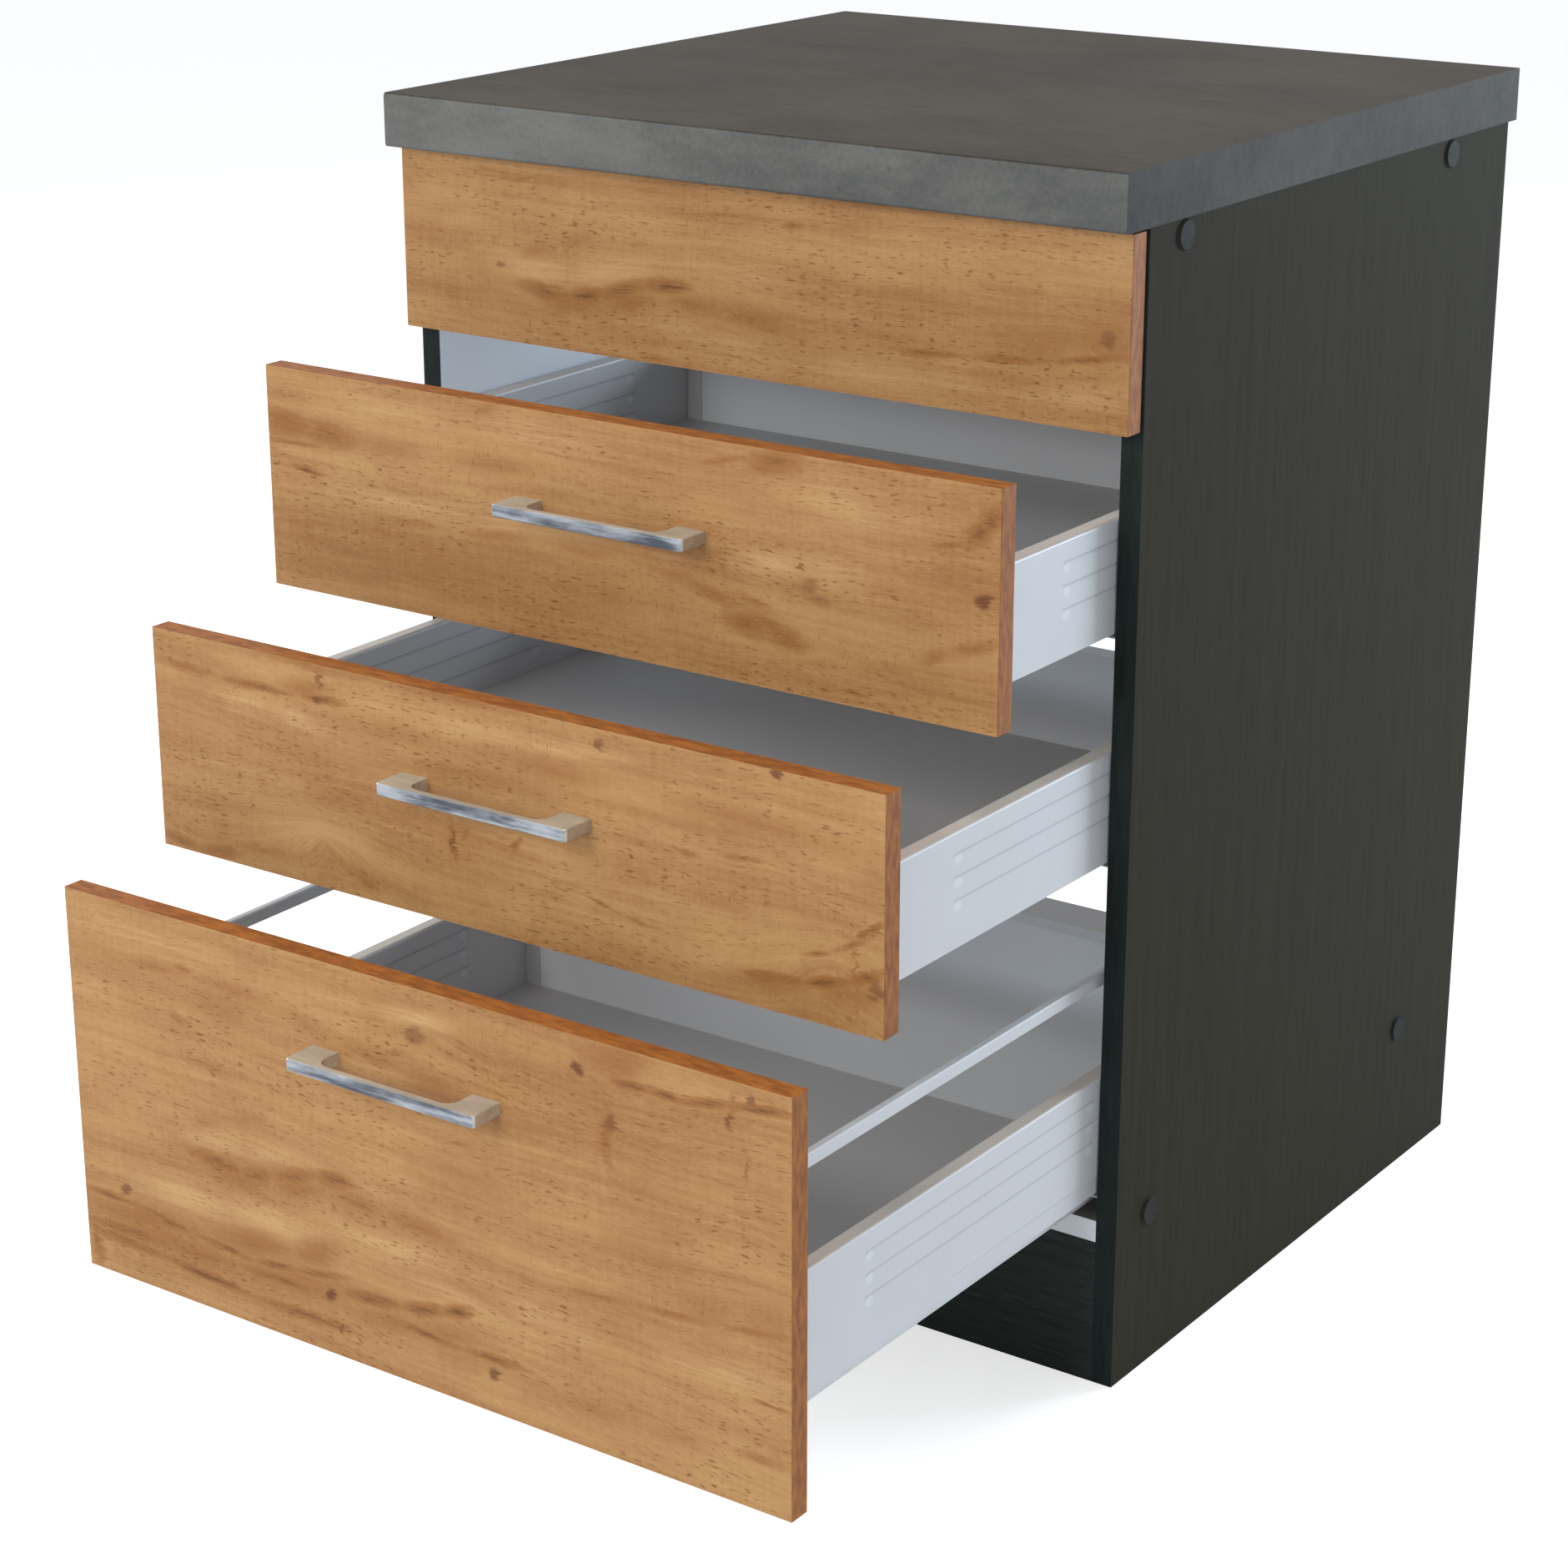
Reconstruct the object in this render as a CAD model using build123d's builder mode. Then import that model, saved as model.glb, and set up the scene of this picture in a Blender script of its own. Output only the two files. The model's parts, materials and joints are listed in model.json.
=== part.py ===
from build123d import *
import os
from collections import namedtuple

# Kitchen base cabinet with a fixed fascia, two shallow drawers and a deep pan drawer.
# Millimetres. X runs to the right, Y to the back, Z up. The origin is on the floor,
# halfway across, in the plane of the carcass's front edges. The drawers stand open.

os.makedirs("parts", exist_ok=True)

# ---- cabinet -------------------------------------------------------------
cabinet_width = 600
cabinet_height = 850
carcass_depth = 534
board = 16
worktop_thickness = 38
worktop_side_overhang = 1
worktop_front_overhang = 32
worktop_rear_overhang = 12
worktop_edge_radius = 2.5
plinth_height = 108
bottom_setback = 22  # of the bottom panel's rear edge from the side panels' rear edges
stretcher_depth = 100

# ---- fronts --------------------------------------------------------------
front_reveal = 1.5  # each side, so that the fronts of two cabinets stand 3 apart
front_gap = 2
front_standoff = 2  # between the carcass and the fronts
front_bottom = 82
drawer_front_height = 156.5
fascia_height = 128
fascia_top_gap = 2
front_edge_radius = 0.8

# ---- drawer boxes --------------------------------------------------------
box_length = 450
side_clearance = 1.5  # from the side panel to the drawer side
side_thickness = 12
sheet = 1.0
fit_gap = 0.3
low_side_height = 77.8
low_side_lift = 21.7  # from the front's lower edge to the side's lower edge
low_floor_rise = -2  # from the side's lower edge to the floor board's underside
low_back_height = 72
pan_side_height = 87.2
pan_side_lift = 62.1
pan_floor_rise = -12
pan_back_drop = 63  # from the front's top edge to the back board's top edge
pan_foot_joggle = 0.5  # inward step of the pan side's outer wall beside the runner
floor_flange = 15
rim_radius = 2.2
band_rows = 3
band_pitch = 15.5
band_height = 12
band_depth = 0.55
band_shoulder = 0.2  # height of the steep edge that makes each band's dark top line
band_margin = 84  # from each end of the side to the pressed bands
band_top_margin = 14
band_ramp = 11
band_corner = 4.5

# ---- runners -------------------------------------------------------------
roller_radius = 6.2
roller_gap = 0.3  # between a roller and what it runs on
bore_clearance = 0.05
pin_radius = 2
pin_head_radius = 3
pin_head = 0.8
pin_head_gap = 0.4  # from a pin's head to the wall beside it
shelf_drop = 2.6  # from the side's lower edge down to the rail's shelf
track_gap = 1.5  # from the rail's lip up to the welded track
rail_front_gap = 2
rail_end_gap = 2
rail_lip = 6.4
rail_lip_gap = 0.4
rail_lip_setback = 1  # of the lip's front end from the stop
rail_wall_drop = 15  # of the wall below the shelf
rail_nose_length = 12  # of the slope that cuts back the wall's lower front corner
rail_nose_height = 9
front_roller_setback = 20
rear_roller_setback = 14
stop_setback = 45.5  # from the rail's front end to the face that holds the rear roller
stop_length = 5
stop_height = 3
channel_gap = 1  # from the side's walls to the stop and the end tab between them

# ---- openings shown ------------------------------------------------------
upper_opening = 149.3
middle_opening = 272
pan_travel_left = 12.5

# ---- handles -------------------------------------------------------------
handle_hole_spacing = 128
handle_end = 14  # from a hole's centre to the handle's end
handle_projection = 26.5
handle_height = 8.5
handle_bar = 5
handle_foot = 22
handle_drop = 64.5  # from the front's top edge to the bar's centre line
handle_corner = 3
handle_inner_radius = 9
handle_edge = 0.6  # chamfer along the bar's front edges

# ---- gallery rails of the pan drawer -------------------------------------
gallery_width = 6
gallery_height = 10
gallery_edge_radius = 1.5
gallery_inset = 6  # from the drawer side's outer face
gallery_rise = 3  # of the rail's top above the back board's top edge
gallery_socket = 14
gallery_socket_wall = 1.5
gallery_seat = 8

# ---- fasteners -----------------------------------------------------------
screw_fit = 0.05
hidden_sides = 8  # of screw shanks, dowels and their holes, which stay out of sight
hole_spare = 1  # depth of a blind hole past its screw or dowel
screw_front_y = 45
screw_rear_inset = 97  # from the side panel's rear edge
screw_offset = 3  # towards the cabinet's middle from the board's centre line
panel_screw_radius = 3.5
panel_screw_length = 50
panel_screw_head_radius = 5
panel_screw_head = 3
cap_radius = 10.5
cap_height = 2
cap_taper = 30  # degrees, of the cap's sloping rim
rail_screw_radius = 2.5
rail_screw_length = 11
rail_screw_head_radius = 4.5
rail_screw_head = 1.8
rail_screw_drop = 8  # below the rail's shelf
rail_screw_inset = 35
worktop_screw_radius = 2
worktop_screw_length = 34
worktop_screw_head_radius = 4
worktop_screw_head = 2
worktop_screw_inset = 100
handle_screw_radius = 2
handle_screw_grip = 10  # length inside the handle's foot
handle_screw_head_radius = 4
handle_screw_head = 2.4
fascia_bracket_sheet = 1.5
fascia_bracket_height = 70
fascia_bracket_front_leg = 32
fascia_bracket_side_leg = 44
dowel_radius = 5
dowel_length = 11
dowel_rise = 12  # above the welded track
dowel_spacing = 32
front_bracket_plate = 3
front_bracket_height = 50
front_bracket_tongue = 34
front_bracket_lift = 0.6
clasp_sheet = 1.2
clasp_front_leg = 12
clasp_rear_leg = 22

# ---- what follows from them ----------------------------------------------
half_width = cabinet_width / 2
inner_x = half_width - board
carcass_height = cabinet_height - worktop_thickness
bottom_depth = carcass_depth - bottom_setback
bottom_top = plinth_height + board
rear_stretcher_y = bottom_depth - stretcher_depth
screw_rear_y = carcass_depth - screw_rear_inset
worktop_screw_x = half_width - worktop_screw_inset

front_rear_y = -front_standoff
front_width = cabinet_width - 2 * front_reveal
fascia_top = carcass_height - fascia_top_gap
fascia_bottom = fascia_top - fascia_height
upper_bottom = fascia_bottom - front_gap - drawer_front_height
middle_bottom = upper_bottom - front_gap - drawer_front_height
pan_front_height = middle_bottom - front_gap - front_bottom
pan_back_height = pan_front_height - pan_back_drop - pan_side_lift - pan_floor_rise - board

side_outer = inner_x - side_clearance
side_inner = side_outer - side_thickness
hollow_outer = side_outer - sheet
hollow_inner = side_inner + sheet
hollow_middle = (hollow_inner + hollow_outer) / 2
channel_face = hollow_outer - pan_foot_joggle
floor_half = side_inner - fit_gap
back_half = floor_half - clasp_sheet

rail_upright = hollow_inner + 2 * fit_gap
rail_length = front_rear_y + box_length + clasp_sheet + rail_end_gap + sheet - rail_front_gap
rail_rear = rail_front_gap + rail_length
track_height = (
    roller_gap + 2 * roller_radius + rail_lip_gap + track_gap + 2 * sheet - shelf_drop
)
front_roller_start = rail_upright + sheet + fit_gap
roller_width = channel_face - pin_head_gap - pin_head - fit_gap - front_roller_start
front_roller_x = (front_roller_start, front_roller_start + roller_width)
rear_roller_end = channel_face - fit_gap
rear_roller_x = (rear_roller_end - roller_width, rear_roller_end)
front_roller_y = rail_front_gap + front_roller_setback
rear_roller_y = front_rear_y + box_length - rear_roller_setback
stop_y = rail_front_gap + stop_setback
runner_travel = rear_roller_y - roller_radius - roller_gap - stop_y
handle_length = handle_hole_spacing + 2 * handle_end
handle_holes_x = (-handle_hole_spacing / 2, handle_hole_spacing / 2)

Drawer = namedtuple(
    "Drawer",
    "name bottom height opening side_height side_lift floor_rise back_height foot_joggle",
)
pan = Drawer(
    "pan_drawer", front_bottom, pan_front_height, runner_travel - pan_travel_left,
    pan_side_height, pan_side_lift, pan_floor_rise, pan_back_height, pan_foot_joggle,
)
middle = Drawer(
    "middle_drawer", middle_bottom, drawer_front_height, middle_opening,
    low_side_height, low_side_lift, low_floor_rise, low_back_height, 0,
)
upper = Drawer(
    "upper_drawer", upper_bottom, drawer_front_height, upper_opening,
    low_side_height, low_side_lift, low_floor_rise, low_back_height, 0,
)
drawers = (upper, middle, pan)


def save(piece, label):
    """Names a finished piece and writes it."""
    piece.part.label = label
    export_step(piece.part, f"parts/{label}.step")


def save_pair(right, label):
    """Writes a right-hand piece and its mirror image on the left."""
    save(right, f"{label}_right")
    with BuildPart() as left:
        mirror(right.part, about=Plane.YZ)
    save(left, f"{label}_left")


def slab(x_range, y_range, z_range, mode=Mode.ADD):
    """A board or plate between three pairs of limits, in the open part."""
    (x0, x1), (y0, y1), (z0, z1) = x_range, y_range, z_range
    with BuildSketch(Plane.XY.offset(z0)) as outline:
        with Locations(((x0 + x1) / 2, (y0 + y1) / 2)):
            Rectangle(x1 - x0, y1 - y0)
    extrude(outline.sketch, amount=z1 - z0, mode=mode)


def bar_outline(radius, sides):
    """A circle, or a regular outline with that many sides, in the open sketch."""
    if sides:
        RegularPolygon(radius, sides)
    else:
        Circle(radius)


def x_rod(x_range, places, radius, mode=Mode.ADD, sides=0):
    """Bars along X, at (y, z) places, in the open part."""
    x0, x1 = x_range
    with BuildSketch(Plane.YZ.offset(x0)) as bars:
        with Locations(*places):
            bar_outline(radius, sides)
    extrude(bars.sketch, amount=x1 - x0, mode=mode)


def z_rod(z_range, places, radius, mode=Mode.ADD, sides=0):
    """Bars along Z, at (x, y) places, in the open part."""
    z0, z1 = z_range
    with BuildSketch(Plane.XY.offset(z0)) as bars:
        with Locations(*places):
            bar_outline(radius, sides)
    extrude(bars.sketch, amount=z1 - z0, mode=mode)


def y_rod(y_range, places, radius, mode=Mode.ADD, sides=0):
    """Bars along Y, at (x, z) places, in the open part."""
    y0, y1 = y_range
    with BuildSketch(Plane.XZ.offset(-y0)) as bars:
        with Locations(*places):
            bar_outline(radius, sides)
    extrude(bars.sketch, amount=y0 - y1, mode=mode)


# ---- heights and places that several pieces share ------------------------
def side_bottom(drawer):
    return drawer.bottom + drawer.side_lift


def side_top(drawer):
    return side_bottom(drawer) + drawer.side_height


def floor_top(drawer):
    return side_bottom(drawer) + drawer.floor_rise + board


def back_top(drawer):
    return floor_top(drawer) + drawer.back_height


def box_front(drawer):
    return front_rear_y - drawer.opening


def box_rear(drawer):
    return box_front(drawer) + box_length


def handle_z(drawer):
    return drawer.bottom + drawer.height - handle_drop


def shelf_z(drawer):
    return side_bottom(drawer) - shelf_drop


def rear_roller_z(drawer):
    return shelf_z(drawer) + roller_gap + roller_radius


def front_roller_z(drawer):
    return side_bottom(drawer) + track_height - sheet - roller_gap - roller_radius


def rail_screw_places(drawer):
    ends = (rail_front_gap + rail_screw_inset, rail_rear - rail_screw_inset)
    return [(y, shelf_z(drawer) - rail_screw_drop) for y in ends]


def dowel_places(drawer):
    low = side_bottom(drawer) + track_height + dowel_rise
    return [(hollow_middle, low), (hollow_middle, low + dowel_spacing)]


top_screw_z = carcass_height - board / 2 - screw_offset
bottom_screw_z = plinth_height + board / 2 + screw_offset
panel_screw_tip = half_width - panel_screw_length
panel_screw_places = [
    (y, z) for y in (screw_front_y, screw_rear_y) for z in (top_screw_z, bottom_screw_z)
]
worktop_screw_rows = (screw_front_y, rear_stretcher_y + stretcher_depth / 2)
worktop_screw_places = [
    (x, y) for x in (-worktop_screw_x, worktop_screw_x) for y in worktop_screw_rows
]


def drill_ends(places):
    """Drills both ends of a board that lies between the side panels for their screws."""
    bore = panel_screw_radius + screw_fit
    reach = inner_x - panel_screw_tip + hole_spare
    x_rod((inner_x - reach, inner_x), places, bore, Mode.SUBTRACT, hidden_sides)
    x_rod((-inner_x, reach - inner_x), places, bore, Mode.SUBTRACT, hidden_sides)


# ---- carcass -------------------------------------------------------------
with BuildPart() as side_panel:
    slab((inner_x, half_width), (0, carcass_depth), (0, carcass_height))
    x_rod(
        (inner_x, half_width),
        panel_screw_places,
        panel_screw_radius + screw_fit,
        Mode.SUBTRACT,
        hidden_sides,
    )
    x_rod(
        (half_width - panel_screw_head, half_width),
        panel_screw_places,
        panel_screw_head_radius + screw_fit,
        Mode.SUBTRACT,
        hidden_sides,
    )
    for drawer in drawers:
        x_rod(
            (inner_x, inner_x + rail_screw_length + hole_spare),
            rail_screw_places(drawer),
            rail_screw_radius + screw_fit,
            Mode.SUBTRACT,
            hidden_sides,
        )
save_pair(side_panel, "side_panel")

with BuildPart() as bottom_panel:
    slab((-inner_x, inner_x), (0, bottom_depth), (plinth_height, bottom_top))
    drill_ends([(y, bottom_screw_z) for y in (screw_front_y, screw_rear_y)])
save(bottom_panel, "bottom_panel")

with BuildPart() as plinth_board:
    slab((-inner_x, inner_x), (0, board), (0, plinth_height))
save(plinth_board, "plinth_board")

for label, start, screw_y, worktop_screw_y in (
    ("front_stretcher", 0, screw_front_y, worktop_screw_rows[0]),
    ("rear_stretcher", rear_stretcher_y, screw_rear_y, worktop_screw_rows[1]),
):
    z_span = (carcass_height - board, carcass_height)
    with BuildPart() as stretcher:
        slab((-inner_x, inner_x), (start, start + stretcher_depth), z_span)
        drill_ends([(screw_y, top_screw_z)])
        z_rod(
            z_span,
            [(-worktop_screw_x, worktop_screw_y), (worktop_screw_x, worktop_screw_y)],
            worktop_screw_radius + screw_fit,
            Mode.SUBTRACT,
            hidden_sides,
        )
    save(stretcher, label)

worktop_screw_foot = carcass_height - board
worktop_screw_tip = worktop_screw_foot + worktop_screw_length
with BuildPart() as worktop:
    slab(
        (-half_width - worktop_side_overhang, half_width + worktop_side_overhang),
        (-worktop_front_overhang, carcass_depth + worktop_rear_overhang),
        (carcass_height, cabinet_height),
    )
    front_face = worktop.faces().sort_by(Axis.Y)[0]
    fillet(front_face.edges().filter_by(Axis.X), worktop_edge_radius)
    z_rod(
        (carcass_height, worktop_screw_tip + hole_spare),
        worktop_screw_places,
        worktop_screw_radius + screw_fit,
        Mode.SUBTRACT,
        hidden_sides,
    )
save(worktop, "worktop")

with BuildPart() as fascia_panel:
    slab(
        (-front_width / 2, front_width / 2),
        (front_rear_y - board, front_rear_y),
        (fascia_bottom, fascia_top),
    )
    fillet(fascia_panel.edges().filter_by(Axis.Z).group_by(Axis.Y)[0], front_edge_radius)
save(fascia_panel, "fascia_panel")

with BuildPart() as fascia_brackets:
    bracket_low = (fascia_bottom + fascia_top - fascia_bracket_height) / 2
    with BuildSketch(Plane.XY.offset(bracket_low)):
        with BuildLine():
            Polyline(
                (inner_x, front_rear_y),
                (inner_x, front_rear_y + fascia_bracket_side_leg),
                (inner_x - fascia_bracket_sheet, front_rear_y + fascia_bracket_side_leg),
                (inner_x - fascia_bracket_sheet, front_rear_y + fascia_bracket_sheet),
                (inner_x - fascia_bracket_front_leg, front_rear_y + fascia_bracket_sheet),
                (inner_x - fascia_bracket_front_leg, front_rear_y),
                close=True,
            )
        make_face()
    extrude(amount=fascia_bracket_height)
    mirror(about=Plane.YZ)
save(fascia_brackets, "fascia_brackets")

# ---- fasteners of the carcass --------------------------------------------
with BuildPart() as panel_screws:
    x_rod(
        (panel_screw_tip, half_width), panel_screw_places, panel_screw_radius, sides=hidden_sides
    )
    head_span = (half_width - panel_screw_head, half_width)
    x_rod(head_span, panel_screw_places, panel_screw_head_radius, sides=hidden_sides)
    mirror(about=Plane.YZ)
save(panel_screws, "panel_screws")

with BuildPart() as cover_caps:
    with BuildSketch(Plane.YZ.offset(half_width)):
        with Locations(*panel_screw_places):
            Circle(cap_radius)
    extrude(amount=cap_height, taper=cap_taper)
    mirror(about=Plane.YZ)
save(cover_caps, "cover_caps")

with BuildPart() as worktop_screws:
    z_rod(
        (worktop_screw_foot, worktop_screw_tip),
        worktop_screw_places,
        worktop_screw_radius,
        sides=hidden_sides,
    )
    head_span = (worktop_screw_foot - worktop_screw_head, worktop_screw_foot)
    z_rod(head_span, worktop_screw_places, worktop_screw_head_radius)
save(worktop_screws, "worktop_screws")


# ---- runners on the cabinet ----------------------------------------------
def make_rail(drawer):
    """The folded rail on the right side panel: shelf over its wall, upright and lip, stop and end tab."""
    shelf_top = shelf_z(drawer)
    shelf_bottom = shelf_top - sheet
    wall_low = shelf_top - rail_wall_drop
    lip_low = rear_roller_z(drawer) + roller_radius + rail_lip_gap
    lip_high = lip_low + sheet
    with BuildPart() as rail:
        with BuildSketch(Plane.XZ.offset(-rail_front_gap)):
            with BuildLine():
                Polyline(
                    (inner_x, wall_low),
                    (inner_x, shelf_top),
                    (rail_upright + sheet, shelf_top),
                    (rail_upright + sheet, lip_low),
                    (rail_upright + rail_lip, lip_low),
                    (rail_upright + rail_lip, lip_high),
                    (rail_upright, lip_high),
                    (rail_upright, shelf_bottom),
                    (inner_x - sheet, shelf_bottom),
                    (inner_x - sheet, wall_low),
                    close=True,
                )
            make_face()
        extrude(amount=-rail_length)
        # the lip starts behind the stop, so that the front roller stands free
        slab(
            (rail_upright + sheet, rail_upright + rail_lip),
            (rail_front_gap, stop_y + rail_lip_setback),
            (lip_low, lip_high),
            Mode.SUBTRACT,
        )
        with BuildSketch(Plane.YZ.offset(inner_x - sheet)):
            with BuildLine():
                Polyline(
                    (rail_front_gap, wall_low),
                    (rail_front_gap, wall_low + rail_nose_height),
                    (rail_front_gap + rail_nose_length, wall_low),
                    close=True,
                )
            make_face()
        extrude(amount=sheet, mode=Mode.SUBTRACT)
        slab(
            (rail_upright + sheet + channel_gap, channel_face - channel_gap),
            (stop_y - stop_length, stop_y),
            (shelf_top, shelf_top + stop_height),
        )
        slab(
            (rail_upright, channel_face - channel_gap),
            (rail_rear - sheet, rail_rear),
            (shelf_top, lip_high),
        )
        x_rod(
            (inner_x - sheet, inner_x),
            rail_screw_places(drawer),
            rail_screw_radius + screw_fit,
            Mode.SUBTRACT,
            hidden_sides,
        )
    return rail


for drawer in drawers:
    save_pair(make_rail(drawer), drawer.name.replace("drawer", "rail"))

with BuildPart() as rail_screws:
    rail_face = inner_x - sheet
    for drawer in drawers:
        places = rail_screw_places(drawer)
        x_rod(
            (rail_face, inner_x + rail_screw_length), places, rail_screw_radius, sides=hidden_sides
        )
        x_rod((rail_face - rail_screw_head, rail_face), places, rail_screw_head_radius)
    mirror(about=Plane.YZ)
save(rail_screws, "rail_screws")


# ---- rollers and their pins ----------------------------------------------
def make_rollers(x_range, y, z):
    """A pair of nylon rollers on one axis, each with a bore for its pin."""
    with BuildPart() as rollers:
        x_rod(x_range, [(y, z)], roller_radius)
        x_rod(x_range, [(y, z)], pin_radius + bore_clearance, Mode.SUBTRACT)
        mirror(about=Plane.YZ)
    return rollers


with BuildPart() as front_roller_pins:
    upright_face = rail_upright + sheet
    head_start = front_roller_x[1] + fit_gap
    for drawer in drawers:
        place = [(front_roller_y, front_roller_z(drawer))]
        x_rod((upright_face, head_start), place, pin_radius)
        x_rod((head_start, head_start + pin_head), place, pin_head_radius)
    mirror(about=Plane.YZ)
save(front_roller_pins, "front_roller_pins")

for drawer in drawers:
    front_rollers = make_rollers(front_roller_x, front_roller_y, front_roller_z(drawer))
    save(front_rollers, drawer.name.replace("drawer", "front_rollers"))
    y = rear_roller_y - drawer.opening
    z = rear_roller_z(drawer)
    save(make_rollers(rear_roller_x, y, z), drawer.name.replace("drawer", "rear_rollers"))
    with BuildPart() as rear_roller_pins:
        head_end = rear_roller_x[0] - fit_gap
        x_rod((head_end, side_outer - drawer.foot_joggle), [(y, z)], pin_radius)
        x_rod((head_end - pin_head, head_end), [(y, z)], pin_head_radius)
        mirror(about=Plane.YZ)
    save(rear_roller_pins, f"{drawer.name}_roller_pins")


# ---- drawer sides --------------------------------------------------------
def band_tool(drawer, face_x, inward):
    """The press tool for a side's top band: a shallow wedge with ramped ends and cut corners."""
    start = box_front(drawer) + band_margin
    end = box_rear(drawer) - band_margin
    top = side_top(drawer) - band_top_margin
    floor_x = face_x + inward * band_depth
    with BuildPart() as tool:
        with BuildSketch(Plane.XZ.offset(-start)):
            with BuildLine():
                Polyline(
                    (face_x, top),
                    (floor_x, top - band_shoulder),
                    (face_x, top - band_height),
                    close=True,
                )
            make_face()
        extrude(amount=start - end)
        with BuildSketch(Plane.XY.offset(top - band_height)):
            with BuildLine():
                Polyline(
                    (face_x, start),
                    (floor_x, start + band_ramp),
                    (floor_x, end - band_ramp),
                    (face_x, end),
                    close=True,
                )
            make_face()
        extrude(amount=band_height, mode=Mode.INTERSECT)
        with BuildSketch(Plane.YZ.offset(min(face_x, floor_x))) as outline:
            with Locations(((start + end) / 2, top - band_height / 2)):
                Rectangle(end - start, band_height)
            chamfer(outline.vertices(), band_corner)
        extrude(amount=band_depth, mode=Mode.INTERSECT)
    return tool.part


def make_side(drawer):
    """A double-walled steel side: rounded rim, pressed bands, welded track over the runner, floor flange."""
    edge = side_bottom(drawer)
    rim = side_top(drawer)
    track_top = edge + track_height
    track_under = track_top - sheet
    flange_top = edge + drawer.floor_rise
    foot_outer = side_outer - drawer.foot_joggle
    foot_inner = hollow_outer - drawer.foot_joggle
    pin_place = [(rear_roller_y - drawer.opening, rear_roller_z(drawer))]
    presses = [band_tool(drawer, side_outer, -1), band_tool(drawer, side_inner, 1)]
    with BuildPart() as side:
        with BuildSketch(Plane.XZ.offset(-box_front(drawer))):
            with BuildLine():
                Polyline(
                    (foot_outer, edge),
                    (foot_outer, track_under),
                    (side_outer, track_top),
                    (side_outer, rim),
                    (side_inner, rim),
                    (side_inner, flange_top),
                    (side_inner - floor_flange, flange_top),
                    (side_inner - floor_flange, flange_top - sheet),
                    (hollow_inner, flange_top - sheet),
                    (hollow_inner, track_under),
                    (foot_inner, track_under),
                    (foot_inner, edge),
                    close=True,
                )
            make_face()
            with BuildLine():
                Polyline(
                    (hollow_outer, track_top),
                    (hollow_outer, rim - sheet),
                    (hollow_inner, rim - sheet),
                    (hollow_inner, track_top),
                    close=True,
                )
            make_face(mode=Mode.SUBTRACT)
        extrude(amount=-box_length)
        fillet(side.edges().filter_by(Axis.Y).group_by(Axis.Z)[-1], rim_radius)
        for press in presses:
            for row in range(band_rows):
                add(press.moved(Location((0, 0, -row * band_pitch))), mode=Mode.SUBTRACT)
        x_rod((foot_inner, foot_outer), pin_place, pin_radius + screw_fit, Mode.SUBTRACT)
    return side


# ---- the rest of each drawer ---------------------------------------------
def make_front(drawer):
    """The front board, drilled for the handle and for the front brackets' dowels."""
    rear = box_front(drawer)
    handle_holes = [(x, handle_z(drawer)) for x in handle_holes_x]
    dowel_holes = [(side * x, z) for side in (-1, 1) for x, z in dowel_places(drawer)]
    with BuildPart() as front:
        slab(
            (-front_width / 2, front_width / 2),
            (rear - board, rear),
            (drawer.bottom, drawer.bottom + drawer.height),
        )
        fillet(front.edges().filter_by(Axis.Z).group_by(Axis.Y)[0], front_edge_radius)
        y_rod(
            (rear - board, rear),
            handle_holes,
            handle_screw_radius + screw_fit,
            Mode.SUBTRACT,
            hidden_sides,
        )
        y_rod(
            (rear - dowel_length - hole_spare, rear),
            dowel_holes,
            dowel_radius + screw_fit,
            Mode.SUBTRACT,
            hidden_sides,
        )
    return front


def make_front_brackets(drawer):
    """Two fixings inside the hollow sides: a plate, a tongue along the inner wall and two dowels."""
    rear = box_front(drawer)
    low = side_bottom(drawer) + track_height + front_bracket_lift
    z_span = (low, low + front_bracket_height)
    start = hollow_inner + fit_gap
    with BuildPart() as brackets:
        slab((start, hollow_outer - fit_gap), (rear, rear + front_bracket_plate), z_span)
        slab((start, start + front_bracket_plate), (rear, rear + front_bracket_tongue), z_span)
        y_rod((rear - dowel_length, rear), dowel_places(drawer), dowel_radius, sides=hidden_sides)
        mirror(about=Plane.YZ)
    return brackets


def make_floor(drawer):
    """The floor board, lying on the sides' flanges."""
    with BuildPart() as floor_board:
        slab(
            (-floor_half, floor_half),
            (box_front(drawer), box_rear(drawer)),
            (floor_top(drawer) - board, floor_top(drawer)),
        )
    return floor_board


def make_back(drawer):
    """The back board, standing on the floor board between the clasps."""
    rear = box_rear(drawer)
    with BuildPart() as back_board:
        slab((-back_half, back_half), (rear - board, rear), (floor_top(drawer), back_top(drawer)))
    return back_board


gallery_outer = side_outer - gallery_inset
gallery_x = (gallery_outer - gallery_width, gallery_outer)
gallery_top = back_top(pan) + gallery_rise
gallery_z = (gallery_top - gallery_height, gallery_top)


def gallery_socket_block(y_range, open_y):
    """A socket for one end of the right gallery rail, in the open part."""
    wall = gallery_socket_wall
    slab(
        (gallery_x[0] - wall, gallery_x[1] + wall), y_range, (gallery_z[0] - wall, gallery_z[1] + wall)
    )
    slab(
        (gallery_x[0] - screw_fit, gallery_x[1] + screw_fit),
        open_y,
        (gallery_z[0] - screw_fit, gallery_z[1] + screw_fit),
        Mode.SUBTRACT,
    )


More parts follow.
